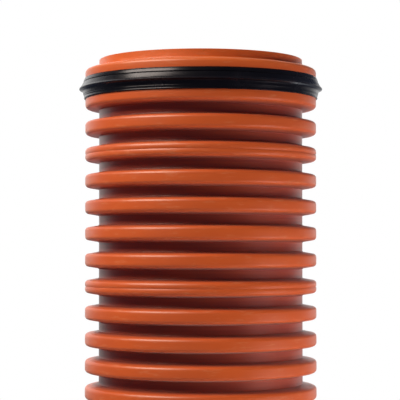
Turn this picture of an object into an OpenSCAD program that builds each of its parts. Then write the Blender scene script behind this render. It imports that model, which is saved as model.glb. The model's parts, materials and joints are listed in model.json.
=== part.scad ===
// Corrugated drain pipe with hollow ribs, and the rubber sealing ring on its spigot end.
// The pipe stands on its plain cut end: its axis is Z, the floor is z = 0, and the spigot end is at the top.

/* [Pipe] */
// Diameter over the crests of the ribs, which is the size the pipe is sold by
crest_d = 200; // [150:1:400]
// Length asked for: the pipe is cut in the valley that comes nearest to it
asked_length = 1000; // [200:1:3000]
// Thickness of the wall at the bottom of a valley, where the two layers are fused
valley_wall = 1.8; // [1.4:0.1:3]

/* [Ribs] */
// Height of a rib above the valleys
rib_depth = 12; // [8:0.1:20]
// Distance from one rib to the next
rib_pitch = 22.7; // [21:0.1:40]
// Width of a rib, half way up its flanks
rib_width = 12.4; // [10:0.1:15]
// Lean of the flanks, in degrees away from square to the pipe
flank_draft = 10; // [0:0.5:12]
// Rounding of a rib's outer corners
crest_round = 3; // [0.5:0.1:3.5]
// Rounding where a flank runs out into the valley
root_round = 1; // [0.2:0.1:1.5]
// Plain valley wall beyond the last rib, at the spigot end
spigot_stub = 7.85; // [2.5:0.05:9]
// Plain valley wall beyond the last rib, at the plain end
foot_stub = 3.65; // [2.5:0.05:9]

/* [Air chambers] */
// Thickness of a rib's hollow wall, at its crest and its flanks
rib_wall = 1.3; // [0.8:0.1:2]
// Thickness of the smooth inner wall under a chamber
liner_wall = 1.2; // [0.8:0.1:1.4]

/* [Marked ribs] */
// Plain ribs between the spigot end and the first rib with a groove round its crest
plain_first = 3; // [0:1:10]
// Every this many ribs, a rib has the groove
groove_every = 5; // [2:1:10]
// Width of the groove
groove_w = 2.4; // [1:0.1:4]
// Depth of the groove
groove_depth = 0.5; // [0.2:0.1:0.8]

/* [Sealing ring] */
// Space between the ring and the pipe, all round its seat
ring_gap = 0.3; // [0.1:0.05:0.5]
// Reach of the ring over the rib at the spigot end, past that rib's flank
upper_lip = 3.2; // [2:0.1:6]
// Reach of the ring over the next rib
lower_lip = 3; // [2:0.1:6]
// Thickness of the ring's thin edges
edge_t = 0.6; // [0.4:0.1:0.8]
// Height of the band above the fin, over the crests
upper_band_h = 1.5; // [1.3:0.1:2]
// Height of the band below the fin, over the crests
lower_band_h = 1.3; // [1.2:0.1:2]
// Height of the sealing fin, over the crests
fin_h = 5.3; // [3.5:0.1:7]
// Thickness of the fin at its tip
fin_t = 0.8; // [0.6:0.1:1.2]
// Distance of the fin's tip below the ring's middle
fin_drop = 0.4; // [0:0.1:1]
// Height of the sloping face above the fin's tip
fin_slope = 3.8; // [2.5:0.1:4.5]
// Depth of the hollow face under the fin's tip
fin_under = 2.2; // [1.5:0.1:2.5]
// Width of the fine lines moulded round the ring
line_w = 0.8; // [0.4:0.1:1]
// Depth of those lines
line_depth = 0.4; // [0.2:0.1:0.5]

/* [Hidden] */

crest_r = crest_d / 2;
valley_r = crest_r - rib_depth;
bore_r = valley_r - valley_wall;
flank_r = (crest_r + valley_r) / 2;

// whole ribs nearest to the length asked for, and the length that they give
plain_ends = spigot_stub + foot_stub + rib_width;
rib_count = round((asked_length - plain_ends) / rib_pitch) + 1;
pipe_length = plain_ends + (rib_count - 1) * rib_pitch;

// half the width of a rib at a radius, with its flanks carried on past the roundings
function rib_half(r) = rib_width / 2 - (r - flank_r) * tan(flank_draft);
// half the width of the valley between two ribs at a radius
function valley_half(r) = rib_pitch / 2 - rib_half(r);
// height of a rib's middle, counting from the floor
function rib_z(i) = foot_stub + rib_width / 2 + i * rib_pitch;
// a rib is marked if the count from the spigot end says so
function marked(i) = (rib_count - 1 - i - plain_first) % groove_every == 0 && rib_count - 1 - i >= plain_first;
// points along an arc, both ends included
function arc(x, y, r, from, to, steps) =
    [for (k = [0:steps]) let (a = from + (to - from) * k / steps) [x + r * cos(a), y + r * sin(a)]];
// an outline's lower half, turned over to make its upper half
function turned_over(points) = [for (k = [len(points) - 1:-1:0]) [points[k][0], -points[k][1]]];
// an outline moved up the pipe
function raised(points, z) = [for (p = points) [p[0], p[1] + z]];

ROUND_STEPS = 128;
CREST_STEPS = 3;
ROOT_STEPS = 2;
root_r = valley_r + root_round;
corner_r = crest_r - crest_round;

// lower half of a rib: the run-out into the valley, the flank and the outer corner
rib_low = concat(
    arc(root_r, -rib_half(root_r) - root_round / cos(flank_draft), root_round, 180, 90 + flank_draft, ROOT_STEPS),
    arc(corner_r, -rib_half(corner_r) + crest_round / cos(flank_draft), crest_round,
        flank_draft - 90, 0, CREST_STEPS));

// the groove of a marked rib, a shallow V
groove = [[crest_r, -groove_w / 2], [crest_r - groove_depth, 0], [crest_r, groove_w / 2]];

function rib_outline(i) = concat(rib_low, marked(i) ? groove : [], turned_over(rib_low));

// the closed air space inside a rib, with bevelled outer corners
chamber_low_r = bore_r + liner_wall;
chamber_top_r = crest_r - rib_wall;
chamber_bevel = crest_round / 2;
function chamber_half(r) = rib_half(r) - rib_wall / cos(flank_draft);
chamber_low = [
    [chamber_low_r, -chamber_half(chamber_low_r)],
    [chamber_top_r - chamber_bevel, -chamber_half(chamber_top_r - chamber_bevel)],
    [chamber_top_r, -chamber_half(chamber_top_r) + chamber_bevel],
];
chamber = concat(chamber_low, turned_over(chamber_low));

module pipe() {
    outline = concat([[bore_r, 0], [valley_r, 0]],
        [for (i = [0:rib_count - 1]) each raised(rib_outline(i), rib_z(i))],
        [[valley_r, pipe_length], [bore_r, pipe_length]]);
    color("chocolate") rotate_extrude($fn = ROUND_STEPS) difference() {
        polygon(outline);
        for (i = [0:rib_count - 1]) polygon(raised(chamber, rib_z(i)));
    }
}

// the ring sits in the first valley from the spigot end, and its outline is drawn about the valley's middle
ring_z = rib_z(rib_count - 1) - rib_pitch / 2;
upper_reach = valley_half(crest_r) + upper_lip;
lower_reach = valley_half(crest_r) + lower_lip;
seat_r = valley_r + ring_gap;
lip_r = crest_r + ring_gap;
edge_r = lip_r + edge_t;
upper_band_r = crest_r + upper_band_h;
lower_band_r = crest_r + lower_band_h;
fin_root_r = upper_band_r + edge_t;
fin_r = crest_r + fin_h;
function body_half(r) = valley_half(r) - ring_gap / cos(flank_draft);

// lower half of the ring's inside: the lip over the rib, and the body that fills the valley
function inside_low(reach) = [
    [lip_r, -reach],
    [lip_r, -body_half(lip_r)],
    [seat_r + root_round, -body_half(seat_r + root_round)],
    [seat_r, root_round - body_half(seat_r)],
];
// a fine line round the outside
function fine_line(r, z) = [[r, z + line_w / 2], [r - line_depth, z], [r, z - line_w / 2]];
// the outside, from the upper edge down
outside = concat(
    [[edge_r, upper_reach], [upper_band_r, upper_reach - line_w]],
    fine_line(upper_band_r, fin_slope + line_w),
    [[fin_root_r, fin_slope], [fin_r, fin_t / 2 - fin_drop], [fin_r, -fin_t / 2 - fin_drop]],
    [[fin_root_r, -fin_under - fin_drop]],
    [[lower_band_r, -fin_slope]],
    fine_line(lower_band_r, 2 * line_w - lower_reach),
    [[edge_r, -lower_reach]]
);

module seal_ring() {
    color("#16151b") translate([0, 0, ring_z]) rotate_extrude($fn = ROUND_STEPS)
        polygon(concat(outside, inside_low(lower_reach), turned_over(inside_low(upper_reach))));
}

pipe();
seal_ring();
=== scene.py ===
"""The looks of a corrugated drain pipe with its rubber sealing ring, on a pale floor in soft light."""

import json
import math

import bmesh
import bpy
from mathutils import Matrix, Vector


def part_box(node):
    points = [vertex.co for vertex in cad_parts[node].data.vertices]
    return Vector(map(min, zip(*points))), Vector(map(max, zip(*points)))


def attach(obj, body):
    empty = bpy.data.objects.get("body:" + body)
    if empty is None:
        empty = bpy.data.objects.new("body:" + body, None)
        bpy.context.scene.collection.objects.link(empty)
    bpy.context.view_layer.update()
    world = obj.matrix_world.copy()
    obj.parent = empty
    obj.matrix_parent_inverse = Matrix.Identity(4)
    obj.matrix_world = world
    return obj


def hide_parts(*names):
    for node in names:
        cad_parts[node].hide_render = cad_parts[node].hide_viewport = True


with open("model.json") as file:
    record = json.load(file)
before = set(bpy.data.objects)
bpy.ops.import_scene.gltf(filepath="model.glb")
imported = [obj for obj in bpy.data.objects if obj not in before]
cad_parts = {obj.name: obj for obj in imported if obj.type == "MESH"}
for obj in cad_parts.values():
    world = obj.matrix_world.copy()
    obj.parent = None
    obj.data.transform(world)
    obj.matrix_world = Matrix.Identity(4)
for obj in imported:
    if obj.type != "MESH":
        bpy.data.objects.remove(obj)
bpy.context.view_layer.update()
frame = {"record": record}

MM = 0.001
mounts = {mount["name"]: mount for mount in frame["record"]["mounts"]}

# ---- sizes of the pipe, in metres, as the solid model has them ----
crest_r = mounts["plain_end"]["dims"]["r_mm"] * MM
bore_r = mounts["waterway"]["dims"]["r_mm"] * MM
pipe_length = mounts["waterway"]["dims"]["length_mm"] * MM
rib_pitch = 22.7 * MM
rib_depth = 12 * MM
# across a rib half way up its flanks
rib_width = 12.4 * MM
flank_draft = math.radians(10)
crest_round = 3 * MM
root_round = 1 * MM
groove_width = 2.4 * MM
groove_depth = 0.5 * MM
# counted from the spigot end, three plain ribs come before the first grooved one
plain_first = 3
groove_every = 5
valley_r = crest_r - rib_depth
flank_r = (crest_r + valley_r) / 2
# the plain end's mount is on the second rib's crest, so the first rib is a pitch below it
first_rib_z = mounts["plain_end"]["pos_m"][2] - rib_pitch
# the spigot's mount is in the middle of the ring, which lies in the valley under the last rib
ring_z = mounts["sealed_spigot"]["pos_m"][2]
last_rib_z = ring_z + rib_pitch / 2
rib_count = round((last_rib_z - first_rib_z) / rib_pitch) + 1
# how far the inner wall sinks outwards under each air space
liner_sink = 0.2 * MM
# the saw's edge, broken by a deburring blade
deburr = 0.3 * MM

# ---- sizes of the sealing ring ----
ring_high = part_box("seal_ring")[1]
fin_r = ring_high.x
ring_gap = 0.3 * MM
# the moulded edges are a little round wherever the outline turns
ring_edge_round = 0.15 * MM
ring_edge_turn = math.radians(10)

# ---- how finely the turned pieces are divided ----
STEPS_ROUND = 128
CREST_STEPS = 3
ROOT_STEPS = 2
RING_EDGE_STEPS = 2
SMOOTH_ANGLE = math.radians(35)
SAME_PLACE = 0.01 * MM

# ---- studio ----
# the middle of the stretch of pipe that the camera sees
lit_height = 0.87
eye = (-0.0006, -1.3617, 0.8377)
eye_tilt = math.radians(1.741)
sensor_mm = 36
lens_mm = 141.3
floor_r = 2.5
# the floor fades into the white round about between these two radii
fade_from_r = 0.7
fade_to_r = 2.3


# ---- modelling ----
def close_to(value, target):
    return abs(value - target) < SAME_PLACE


def radius_of(vertex):
    return vertex.co.xy.length


def select_only(*objects):
    bpy.ops.object.select_all(action="DESELECT")
    for one in objects:
        one.select_set(True)
    bpy.context.view_layer.objects.active = objects[0]


def select_edges(piece, wanted):
    """Selects the level edges whose two ends both pass wanted(radius, height)."""
    bpy.ops.mesh.select_mode(type="EDGE")
    bpy.ops.mesh.select_all(action="DESELECT")
    mesh = bmesh.from_edit_mesh(piece.data)
    for edge in mesh.edges:
        one_end, other_end = edge.verts
        if not close_to(one_end.co.z, other_end.co.z):
            continue
        if all(wanted(radius_of(vertex), vertex.co.z) for vertex in edge.verts):
            edge.select_set(True)
    mesh.select_flush_mode()
    bmesh.update_edit_mesh(piece.data)


def new_piece(name):
    """An empty mesh object, open in edit mode, for a turned piece."""
    bpy.ops.object.select_all(action="DESELECT")
    bpy.ops.object.add(type="MESH", location=(0, 0, 0))
    piece = bpy.context.object
    piece.name = name
    piece.data.name = name
    bpy.ops.object.mode_set(mode="EDIT")
    return piece


def draw_round(outline):
    """Draws a turned wall: a circle at the outline's first point, pulled and scaled to each next one."""
    radius, height = outline[0]
    bpy.ops.mesh.primitive_circle_add(
        vertices=STEPS_ROUND, radius=radius, location=(0, 0, height), fill_type="NOTHING"
    )
    for next_radius, next_height in outline[1:]:
        bpy.ops.mesh.extrude_region_move(TRANSFORM_OT_translate={"value": (0, 0, next_height - height)})
        growth = next_radius / radius
        bpy.ops.transform.resize(value=(growth, growth, 1), center_override=(0, 0, 0))
        radius, height = next_radius, next_height


def round_corners(piece, corner_radius, turned_through, steps, wanted):
    """Rounds the sharp circles that wanted(radius, height) picks to an arc of that radius."""
    select_edges(piece, wanted)
    bpy.ops.mesh.bevel(
        offset=corner_radius * math.tan(turned_through / 2),
        offset_type="OFFSET",
        segments=steps,
        profile=0.5,
        affect="EDGES",
    )


def finish_shading(piece):
    """Smooth shading that keeps the flat faces flat beside their rounded corners."""
    select_only(piece)
    bpy.ops.object.shade_smooth_by_angle(angle=SMOOTH_ANGLE)
    bpy.ops.object.modifier_add(type="WEIGHTED_NORMAL")
    weighting = piece.modifiers[-1]
    weighting.keep_sharp = True
    bpy.ops.object.modifier_apply(modifier=weighting.name)


# ---- the pipe ----
# the wall's material is in the first slot, and that of the sawn faces in the second
CUT_SLOT = 1


def rib_half(radius):
    """Half the width of a rib at a radius, before its corners are rounded."""
    return rib_width / 2 - (radius - flank_r) * math.tan(flank_draft)


def rib_section(name, grooved):
    """One pitch of the wall, from the middle of a valley to the middle of the next, round height 0."""
    piece = new_piece(name)
    crest_half = rib_half(crest_r)
    root_half = rib_half(valley_r)
    groove = [
        (crest_r, -groove_width / 2),
        (crest_r - groove_depth, 0),
        (crest_r, groove_width / 2),
    ]
    draw_round(
        [
            (valley_r, -rib_pitch / 2),
            (valley_r, -root_half),
            (crest_r, -crest_half),
            *(groove if grooved else []),
            (crest_r, crest_half),
            (valley_r, root_half),
            (valley_r, rib_pitch / 2),
        ]
    )
    flank_turn = math.pi / 2 - flank_draft
    round_corners(
        piece, crest_round, flank_turn, CREST_STEPS,
        lambda radius, height: close_to(radius, crest_r) and close_to(abs(height), crest_half),
    )
    round_corners(
        piece, root_round, flank_turn, ROOT_STEPS,
        lambda radius, height: close_to(radius, valley_r) and close_to(abs(height), root_half),
    )
    bpy.ops.mesh.select_all(action="DESELECT")
    draw_round([(bore_r, -rib_pitch / 2), (bore_r + liner_sink, 0), (bore_r, rib_pitch / 2)])
    bpy.ops.object.mode_set(mode="OBJECT")
    return piece


def copy_up(piece, rise):
    """A copy of a piece with a mesh of its own, moved up in its mesh."""
    select_only(piece)
    bpy.ops.object.duplicate(linked=False)
    copied = bpy.context.object
    bpy.ops.object.mode_set(mode="EDIT")
    bpy.ops.mesh.select_all(action="SELECT")
    bpy.ops.transform.translate(value=(0, 0, rise))
    bpy.ops.object.mode_set(mode="OBJECT")
    return copied


def is_grooved(rib):
    """Counted from the spigot end, every fifth rib after the first plain ones has a groove."""
    from_top = rib_count - 1 - rib
    return from_top >= plain_first and (from_top - plain_first) % groove_every == 0


def weld_sections(wall, cut):
    """A section for each rib, welded into one wall. Its ends are open, and it is left in edit mode."""
    plain = rib_section("plain_rib_section", grooved=False)
    grooved = rib_section("grooved_rib_section", grooved=True)
    sections = [
        copy_up(grooved if is_grooved(rib) else plain, first_rib_z + rib * rib_pitch)
        for rib in range(rib_count)
    ]
    select_only(plain, grooved)
    bpy.ops.object.delete()
    select_only(*sections)
    bpy.ops.object.join()
    pipe = bpy.context.object
    pipe.name = "corrugated_pipe"
    pipe.data.name = "corrugated_pipe"
    pipe.data.materials.append(wall)
    pipe.data.materials.append(cut)
    bpy.ops.object.mode_set(mode="EDIT")
    bpy.ops.mesh.select_all(action="SELECT")
    bpy.ops.mesh.remove_doubles(threshold=SAME_PLACE)

    # the welds in the middle of each valley are plain wall
    welds = [first_rib_z + (rib + 0.5) * rib_pitch for rib in range(rib_count - 1)]
    select_edges(
        pipe,
        lambda radius, height: close_to(radius, valley_r) and any(close_to(height, weld) for weld in welds),
    )
    bpy.ops.mesh.dissolve_edges()
    return pipe


def saw_off(pipe, wall_end, cut_z):
    """Brings an open end of the wall to the saw's cut, and closes it with a flat, deburred face."""
    def on_outer_edge(radius, height):
        return close_to(height, cut_z) and close_to(radius, valley_r)

    select_edges(pipe, lambda radius, height: close_to(height, wall_end))
    bpy.ops.transform.translate(value=(0, 0, cut_z - wall_end))
    # the outer circle is drawn in to the bore's, and the two are merged
    select_edges(pipe, on_outer_edge)
    bpy.ops.mesh.extrude_region_move()
    inwards = bore_r / valley_r
    bpy.ops.transform.resize(value=(inwards, inwards, 1), center_override=(0, 0, cut_z))
    bpy.ops.mesh.select_all(action="SELECT")
    bpy.ops.mesh.remove_doubles(threshold=SAME_PLACE)
    # the flat face between the two circles is sawn, and its outer edge is broken
    select_edges(pipe, lambda radius, height: close_to(height, cut_z))
    bpy.ops.mesh.select_mode(type="FACE")
    pipe.active_material_index = CUT_SLOT
    bpy.ops.object.material_slot_assign()
    select_edges(pipe, on_outer_edge)
    bpy.ops.mesh.bevel(offset=deburr, segments=1, affect="EDGES")


def make_pipe(wall, cut):
    """The pipe, of one material on its wall and another on the two faces that the saw leaves."""
    pipe = weld_sections(wall, cut)
    saw_off(pipe, first_rib_z - rib_pitch / 2, 0)
    saw_off(pipe, last_rib_z + rib_pitch / 2, pipe_length)
    bpy.ops.mesh.select_all(action="SELECT")
    bpy.ops.mesh.normals_make_consistent(inside=False)
    bpy.ops.object.mode_set(mode="OBJECT")
    finish_shading(pipe)
    return pipe


# ---- the sealing ring ----
def over_crests(points):
    """Turns points, given as millimetres over the crests and from the ring's middle, into metres."""
    return [(crest_r + over * MM, height * MM) for over, height in points]


def valley_half(radius):
    """Half the width of the ring's body at a radius, where it lies between the flanks of two ribs."""
    return rib_pitch / 2 - rib_half(radius) - ring_gap / math.cos(flank_draft)


def make_seal_ring(rubber):
    """The ring: a body that fills the valley, lips over both ribs, two bands and a fin with a thin tip."""
    # the outside from the upper edge down: how far each point stands over the crests, and its height
    # from the ring's middle, in millimetres
    upper_lip = [(0.62, 9.3), (0.66, 8.5)]
    upper_band = [(1.05, 8.25), (1.75, 6.15)]
    band_line = [(1.35, 5.75), (1.95, 5.3)]
    fin_top = [(2.45, 4.4), (3.0, 3.4), (3.6, 2.35), (4.3, 1.25)]
    fin_under = [(4.4, -0.85), (3.3, -1.4), (2.5, -2.2), (2.1, -3.3), (1.8, -4.7)]
    lower_line = [(1.4, -5.1), (1.6, -5.5)]
    lower_band = [(1.15, -6.4), (1.1, -7.2), (1.3, -7.8), (1.15, -8.2)]
    lower_lip = [(0.68, -8.4), (0.62, -8.7)]
    fin_tip = [(fin_r, 0.35 * MM), (fin_r, -0.4 * MM)]
    outside = [
        *over_crests(upper_lip + upper_band + band_line + fin_top),
        *fin_tip,
        *over_crests(fin_under + lower_line + lower_band + lower_lip),
    ]
    upper_edge, lower_edge = outside[0], outside[-1]
    # the inside from the lower edge up, a gap away from the crests, the flanks and the valley
    under_lip_r = crest_r + ring_gap
    seat_r = valley_r + ring_gap
    inside = [
        (under_lip_r, lower_edge[1]),
        (under_lip_r, -valley_half(under_lip_r)),
        (seat_r, -valley_half(seat_r)),
        (seat_r, valley_half(seat_r)),
        (under_lip_r, valley_half(under_lip_r)),
        (under_lip_r, upper_edge[1]),
        upper_edge,
    ]
    ring = new_piece("rubber_seal_ring")
    draw_round([(radius, ring_z + height) for radius, height in outside + inside])
    bpy.ops.mesh.select_all(action="SELECT")
    bpy.ops.mesh.remove_doubles(threshold=SAME_PLACE)
    bpy.ops.mesh.normals_make_consistent(inside=False)
    bpy.ops.object.mode_set(mode="OBJECT")
    ring.data.materials.append(rubber)
    bpy.ops.object.modifier_add(type="BEVEL")
    soften = ring.modifiers[-1]
    soften.width = ring_edge_round
    soften.segments = RING_EDGE_STEPS
    soften.limit_method = "ANGLE"
    soften.angle_limit = ring_edge_turn
    bpy.ops.object.modifier_apply(modifier=soften.name)
    finish_shading(ring)
    return ring


# ---- materials ----
# a noise's scale is how many of its features fit in a metre: 1000 over their size in millimetres

# a Mix node has sockets of the same name for each kind of value, and these are its colours' sockets
COLOUR_A = 6
COLOUR_B = 7
COLOUR_MIXED = 2
PVC_IOR = 1.53
WHITE = (1, 1, 1, 1)


def hex_colour(code):
    """The linear colour of an sRGB hex value such as c8582c."""
    channels = [int(code[k:k + 2], 16) / 255 for k in (0, 2, 4)]
    linear = [c / 12.92 if c <= 0.04045 else ((c + 0.055) / 1.055) ** 2.4 for c in channels]
    return (*linear, 1)


def add_node(tree, kind, inputs=None, **settings):
    """Adds a shader node. An input that is another node's output is linked, and any other is set."""
    node = tree.nodes.new("ShaderNode" + kind)
    for name, value in settings.items():
        setattr(node, name, value)
    for name, value in (inputs or {}).items():
        if isinstance(value, bpy.types.NodeSocket):
            tree.links.new(value, node.inputs[name])
        else:
            node.inputs[name].default_value = value
    return node


def new_material(name):
    """A material with one Principled shader: the material, its nodes and the shader."""
    material = bpy.data.materials.new(name)
    material.use_nodes = True
    return material, material.node_tree, material.node_tree.nodes["Principled BSDF"]


def turned_place(tree):
    """Where a point of a turned piece is: its Object coordinates, and its distance from the axis."""
    place = add_node(tree, "TexCoord").outputs["Object"]
    across = add_node(tree, "VectorMath", {0: place, 1: (1, 1, 0)}, operation="MULTIPLY")
    radius = add_node(tree, "VectorMath", {0: across.outputs[0]}, operation="LENGTH")
    return place, radius.outputs["Value"]


def extruded_pvc():
    """Orange-brown PVC-U, extruded and blown into cooled mould blocks.

    The eye sees a satin skin with fine lines drawn round it, a slight orange peel, crests that handling has
    scuffed, painted shade that darkens the valleys, painted light on the stub, and the mould blocks' parting
    lines up both sides.
    """
    # painted shade, for the valleys and flanks
    valley_shade_brown = hex_colour("8c372d")
    crest_orange = hex_colour("cf5622")
    # painted light, for the stub
    stub_light_orange = hex_colour("df6828")
    cloud_brown = hex_colour("b84a24")
    drawn_orange = hex_colour("d8642f")
    scuffed_pink = hex_colour("dc8a62")

    material, tree, shader = new_material("extruded_pvc")
    place, radius = turned_place(tree)
    axes = add_node(tree, "SeparateXYZ", {0: place}).outputs

    # 0 in the valleys, and 1 on the crests and on the plain stub over the last rib: it places the painted
    # shade of the valleys, and keeps the scuffs to the standing parts
    standing = add_node(
        tree, "MapRange",
        {"Value": radius, "From Min": valley_r + 1.5 * MM, "From Max": crest_r - 1.2 * MM},
        interpolation_type="SMOOTHSTEP",
    ).outputs["Result"]
    stub = add_node(
        tree, "MapRange",
        {"Value": axes["Z"], "From Min": last_rib_z, "From Max": last_rib_z + rib_width / 2},
    ).outputs["Result"]
    raised = add_node(tree, "Math", {0: standing, 1: stub}, operation="MAXIMUM").outputs[0]

    # clouds of colour about 45 mm across, from the compound's mixing
    clouds = add_node(tree, "TexNoise", {"Vector": place, "Scale": 22, "Detail": 3}).outputs["Fac"]
    # lines drawn round the pipe as it leaves the die, 2 mm apart and some 120 mm long
    drawn = add_node(tree, "Mapping", {"Vector": place, "Scale": (8, 8, 480)}).outputs[0]
    lines = add_node(tree, "TexNoise", {"Vector": drawn, "Scale": 1, "Detail": 2}).outputs["Fac"]
    # scuffs from handling, drawn about 3 mm wide because real ones are too fine to show
    rubbed = add_node(tree, "Mapping", {"Vector": place, "Scale": (60, 60, 320)}).outputs[0]
    rubs = add_node(
        tree, "TexNoise", {"Vector": rubbed, "Scale": 1, "Detail": 5, "Roughness": 0.65}
    ).outputs["Fac"]
    scuffed = add_node(
        tree, "MapRange", {"Value": rubs, "From Min": 0.56, "From Max": 0.72}
    ).outputs["Result"]
    scuffs = add_node(tree, "Math", {0: scuffed, 1: raised}, operation="MULTIPLY").outputs[0]

    # painted light: the stub, which stands free in the light above the last rib, is coloured lighter than the
    # crests
    crest_and_stub_light = add_node(
        tree, "Mix", {0: stub, COLOUR_A: crest_orange, COLOUR_B: stub_light_orange}, data_type="RGBA"
    ).outputs[COLOUR_MIXED]
    # painted shade: the valleys and their flanks are coloured a darker brown where the ribs shade one another
    valley_shaded_tone = add_node(
        tree, "Mix", {0: raised, COLOUR_A: valley_shade_brown, COLOUR_B: crest_and_stub_light}, data_type="RGBA"
    ).outputs[COLOUR_MIXED]
    cloudy = add_node(
        tree, "MapRange", {"Value": clouds, "From Min": 0.3, "From Max": 0.7, "To Min": 0, "To Max": 0.3}
    ).outputs["Result"]
    clouded = add_node(
        tree, "Mix", {0: cloudy, COLOUR_A: valley_shaded_tone, COLOUR_B: cloud_brown}, data_type="RGBA"
    ).outputs[COLOUR_MIXED]
    streaky = add_node(
        tree, "MapRange", {"Value": lines, "From Min": 0.35, "From Max": 0.7, "To Min": 0, "To Max": 0.22}
    ).outputs["Result"]
    streaked = add_node(
        tree, "Mix", {0: streaky, COLOUR_A: clouded, COLOUR_B: drawn_orange}, data_type="RGBA"
    ).outputs[COLOUR_MIXED]
    pale = add_node(tree, "Math", {0: scuffs, 1: 0.35}, operation="MULTIPLY").outputs[0]
    coloured = add_node(
        tree, "Mix", {0: pale, COLOUR_A: streaked, COLOUR_B: scuffed_pink}, data_type="RGBA"
    ).outputs[COLOUR_MIXED]
    tree.links.new(coloured, shader.inputs["Base Color"])

    # satin: a roughness of about 0.38, a little more in the clouds, and matte in the scuffs
    satin = add_node(
        tree, "MapRange", {"Value": clouds, "From Min": 0.3, "From Max": 0.7, "To Min": 0.35, "To Max": 0.42}
    ).outputs["Result"]
    worn = add_node(
        tree, "Math", {0: scuffs, 1: 0.2, 2: satin}, operation="MULTIPLY_ADD"
    ).outputs[0]
    tree.links.new(worn, shader.inputs["Roughness"])
    shader.inputs["IOR"].default_value = PVC_IOR
    # fine pale dust that has settled on the skin, which shows where it is seen at a glancing angle
    shader.inputs["Sheen Weight"].default_value = 0.2
    shader.inputs["Sheen Roughness"].default_value = 0.35
    shader.inputs["Sheen Tint"].default_value = (0.86, 0.9, 0.84, 1)

    # orange peel 2.5 mm across
    peel = add_node(tree, "TexNoise", {"Vector": place, "Scale": 400, "Detail": 1}).outputs["Fac"]
    # the parting lines stand up along the two sides, 0.8 mm wide
    off_line = add_node(tree, "Math", {0: axes["Y"]}, operation="ABSOLUTE").outputs[0]
    parting = add_node(
        tree, "MapRange",
        {"Value": off_line, "From Min": 0, "From Max": 0.4 * MM, "To Min": 6, "To Max": 0},
    ).outputs["Result"]
    skin = add_node(tree, "Math", {0: lines, 1: 2, 2: peel}, operation="MULTIPLY_ADD").outputs[0]
    relief = add_node(tree, "Math", {0: skin, 1: parting}, operation="ADD").outputs[0]
    bump = add_node(tree, "Bump", {"Height": relief, "Strength": 1, "Distance": 0.02 * MM})
    tree.links.new(bump.outputs["Normal"], shader.inputs["Normal"])
    return material


def sawn_pvc():
    """The same plastic where the saw cut it: paler and matte, with the saw's fine marks across it."""
    smooth_orange = hex_colour("c9602f")
    torn_pink = hex_colour("dd9468")

    material, tree, shader = new_material("sawn_pvc")
    place = add_node(tree, "TexCoord").outputs["Object"]
    # saw marks 1.2 mm apart, a little uneven. A wave's bands lie pi / 10 over its scale apart, in metres
    marks = add_node(
        tree, "TexWave",
        {"Vector": place, "Scale": 260, "Distortion": 1.5, "Detail": 2, "Detail Scale": 0.4},
        bands_direction="X",
    ).outputs["Fac"]
    # torn fuzz about 1 mm across, drawn coarser than it is so that it shows
    fuzz = add_node(tree, "TexNoise", {"Vector": place, "Scale": 900, "Detail": 2}).outputs["Fac"]
    torn = add_node(tree, "Math", {0: marks, 1: fuzz}, operation="MULTIPLY").outputs[0]
    coloured = add_node(
        tree, "Mix", {0: torn, COLOUR_A: smooth_orange, COLOUR_B: torn_pink}, data_type="RGBA"
    ).outputs[COLOUR_MIXED]
    tree.links.new(coloured, shader.inputs["Base Color"])
    rough = add_node(
        tree, "MapRange", {"Value": torn, "From Min": 0, "From Max": 1, "To Min": 0.55, "To Max": 0.75}
    ).outputs["Result"]
    tree.links.new(rough, shader.inputs["Roughness"])
    shader.inputs["IOR"].default_value = PVC_IOR
    bump = add_node(tree, "Bump", {"Height": torn, "Strength": 1, "Distance": 0.08 * MM})
    tree.links.new(bump.outputs["Normal"], shader.inputs["Normal"])
    return material


def moulded_epdm():
    """Black EPDM rubber from a polished mould.

    The eye sees a cool black with a soft shine, fine lines round it from the turned mould, a greyish
    bloom here and there, and a thin flash line on the fin's tip.
    """
    cool_black = hex_colour("08070a")
    bloom_grey = hex_colour("1b191f")

    material, tree, shader = new_material("moulded_epdm")
    place, radius = turned_place(tree)
    # lines of the turned mould, drawn 0.9 mm apart because real ones are too fine to show
    turned = add_node(tree, "Mapping", {"Vector": place, "Scale": (6, 6, 1100)}).outputs[0]
    lines = add_node(tree, "TexNoise", {"Vector": turned, "Scale": 1, "Detail": 2}).outputs["Fac"]
    # bloom in patches about 25 mm across
    patches = add_node(tree, "TexNoise", {"Vector": place, "Scale": 40, "Detail": 4}).outputs["Fac"]
    bloom = add_node(
        tree, "MapRange", {"Value": patches, "From Min": 0.45, "From Max": 0.75, "To Min": 0, "To Max": 0.5}
    ).outputs["Result"]
    flash = add_node(
        tree, "MapRange",
        {"Value": radius, "From Min": fin_r - 0.4 * MM, "From Max": fin_r, "To Min": 0, "To Max": 0.5},
    ).outputs["Result"]
    greyed = add_node(tree, "Math", {0: bloom, 1: flash}, operation="MAXIMUM").outputs[0]
    coloured = add_node(
        tree, "Mix", {0: greyed, COLOUR_A: cool_black, COLOUR_B: bloom_grey}, data_type="RGBA"
    ).outputs[COLOUR_MIXED]
    tree.links.new(coloured, shader.inputs["Base Color"])
    rough = add_node(
        tree, "MapRange", {"Value": greyed, "From Min": 0, "From Max": 0.5, "To Min": 0.23, "To Max": 0.34}
    ).outputs["Result"]
    tree.links.new(rough, shader.inputs["Roughness"])
    shader.inputs["IOR"].default_value = 1.42
    # wax that has come out of the rubber gives its shine a faint purple cast
    shader.inputs["Specular Tint"].default_value = (1, 0.86, 0.93, 1)
    # a grain 1.4 mm across
    grain = add_node(tree, "TexNoise", {"Vector": place, "Scale": 700, "Detail": 1}).outputs["Fac"]
    relief = add_node(tree, "Math", {0: lines, 1: 2, 2: grain}, operation="MULTIPLY_ADD").outputs[0]
    bump = add_node(tree, "Bump", {"Height": relief, "Strength": 1, "Distance": 0.012 * MM})
    tree.links.new(bump.outputs["Normal"], shader.inputs["Normal"])
    return material


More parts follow.
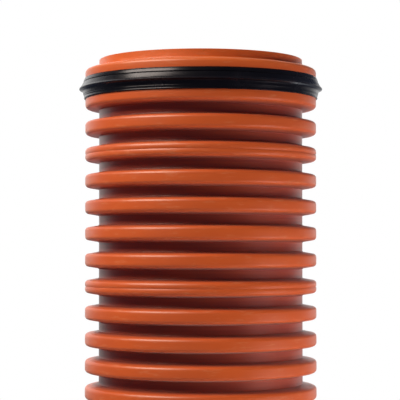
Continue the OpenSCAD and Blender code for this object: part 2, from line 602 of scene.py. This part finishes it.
def pale_floor_paint():
    """Matte pale floor paint, rolled on, that fades into the white round about."""
    thick_coat = hex_colour("e4e4e4")
    thin_coat = hex_colour("ececec")

    material, tree, shader = new_material("pale_floor_paint")
    place, radius = turned_place(tree)
    # the roller's stipple, drawn 17 mm across because the real one is too fine to show
    rolled = add_node(tree, "TexNoise", {"Vector": place, "Scale": 60, "Detail": 3}).outputs["Fac"]
    coloured = add_node(
        tree, "Mix", {0: rolled, COLOUR_A: thick_coat, COLOUR_B: thin_coat}, data_type="RGBA"
    ).outputs[COLOUR_MIXED]
    tree.links.new(coloured, shader.inputs["Base Color"])
    shader.inputs["Roughness"].default_value = 0.6
    solid = add_node(
        tree, "MapRange",
        {"Value": radius, "From Min": fade_from_r, "From Max": fade_to_r, "To Min": 1, "To Max": 0},
        interpolation_type="SMOOTHSTEP",
    ).outputs["Result"]
    tree.links.new(solid, shader.inputs["Alpha"])
    return material


# ---- lamps, world, camera and floor ----
def soft_box(name, azimuth, elevation, distance, width, height, watts, tint=(1, 1, 1), shines=True):
    """A soft box that faces the pipe. Azimuth 0 is the camera's side and 90 the right."""
    around = math.radians(azimuth)
    up = math.radians(elevation)
    aim = Vector((0, 0, lit_height))
    place = aim + distance * Vector(
        (math.sin(around) * math.cos(up), -math.cos(around) * math.cos(up), math.sin(up))
    )
    bpy.ops.object.light_add(type="AREA", location=place)
    lamp = bpy.context.object
    lamp.name = name
    lamp.data.name = name
    lamp.data.shape = "RECTANGLE"
    lamp.data.size = width
    lamp.data.size_y = height
    lamp.data.energy = watts
    lamp.data.color = tint
    lamp.rotation_euler = (aim - place).to_track_quat("-Z", "Y").to_euler()
    lamp.visible_camera = False
    lamp.visible_glossy = shines


def hang_lamps():
    """A key at the left, low fill at the right, and a rear lamp. Each hangs clear over or under the floor."""
    soft_box(
        "key_soft_box", azimuth=-59, elevation=45, distance=2.1, width=1.6, height=1.05, watts=58,
        tint=(1, 0.98, 0.83),
    )
    soft_box(
        "low_bounce", azimuth=70, elevation=-22, distance=0.8, width=0.5, height=0.5, watts=4.6,
        shines=False,
    )
    soft_box("low_strip", azimuth=88, elevation=-42, distance=3, width=1.8, height=1.2, watts=6)
    soft_box(
        "right_low_panel", azimuth=158, elevation=-45, distance=2, width=0.8, height=0.8, watts=8,
        tint=(0.86, 0.94, 1),
    )
    soft_box(
        "rear_soft_box", azimuth=180, elevation=35, distance=2.6, width=1.6, height=1.2, watts=60,
        shines=False,
    )


def make_world():
    """White to the camera all round, white behind the object in reflections, and dim elsewhere."""
    dim = (0.06, 0.06, 0.06, 1)
    dim_blue = (0.06, 0.07, 0.11, 1)

    world = bpy.data.worlds.new("white_studio")
    world.use_nodes = True
    tree = world.node_tree
    bpy.context.scene.world = world
    seen_by = add_node(tree, "LightPath").outputs
    direction = add_node(tree, "TexCoord").outputs["Generated"]
    axes = add_node(tree, "SeparateXYZ", {0: direction}).outputs
    # a white panel hangs behind the pipe, dims towards its lower edge, and is lower on the right
    behind = add_node(
        tree, "MapRange", {"Value": axes["Y"], "From Min": 0.35, "From Max": 0.85},
        interpolation_type="SMOOTHSTEP",
    ).outputs["Result"]
    crosswise = add_node(tree, "Math", {0: axes["X"], 1: axes["Z"]}, operation="MULTIPLY").outputs[0]
    slanted = add_node(
        tree, "MapRange",
        {"Value": crosswise, "From Min": 0.1, "From Max": 0.02, "To Min": 0, "To Max": 1.3},
    ).outputs["Result"]
    dimmed = add_node(
        tree, "MapRange", {"Value": axes["Z"], "From Min": -0.3, "From Max": 0.08}
    ).outputs["Result"]
    brightness = add_node(tree, "Math", {0: slanted, 1: dimmed}, operation="MULTIPLY").outputs[0]
    panel = add_node(tree, "Math", {0: behind, 1: brightness}, operation="MULTIPLY").outputs[0]
    reflected = add_node(
        tree, "Mix", {0: panel, COLOUR_A: dim_blue, COLOUR_B: WHITE}, data_type="RGBA",
        clamp_factor=False,
    ).outputs[COLOUR_MIXED]
    ambient = add_node(
        tree, "Mix", {0: seen_by["Is Glossy Ray"], COLOUR_A: dim, COLOUR_B: reflected}, data_type="RGBA"
    ).outputs[COLOUR_MIXED]
    shown = add_node(
        tree, "Mix", {0: seen_by["Is Camera Ray"], COLOUR_A: ambient, COLOUR_B: WHITE}, data_type="RGBA"
    ).outputs[COLOUR_MIXED]
    tree.links.new(shown, tree.nodes["Background"].inputs["Color"])


def make_camera():
    """Eye level a little under the spigot end, close enough to see the ribs curve."""
    bpy.ops.object.camera_add(location=eye, rotation=(math.radians(90) + eye_tilt, 0, 0))
    camera = bpy.context.object
    camera.data.sensor_width = sensor_mm
    camera.data.lens = lens_mm
    bpy.context.scene.camera = camera


def make_floor():
    """A pale round floor. It takes the object's shadow, and lets the light of the low lamps through."""
    bpy.ops.object.select_all(action="DESELECT")
    bpy.ops.mesh.primitive_circle_add(vertices=96, radius=floor_r, fill_type="NGON")
    floor = bpy.context.object
    floor.name = "studio_floor"
    floor.data.materials.append(pale_floor_paint())
    floor.visible_shadow = False
    floor.visible_glossy = False


pipe = make_pipe(extruded_pvc(), sawn_pvc())
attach(pipe, "root")
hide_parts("pipe")

ring = make_seal_ring(moulded_epdm())
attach(ring, "root")
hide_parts("seal_ring")

make_floor()
hang_lamps()
make_world()
make_camera()
bpy.context.scene.view_settings.view_transform = "Standard"
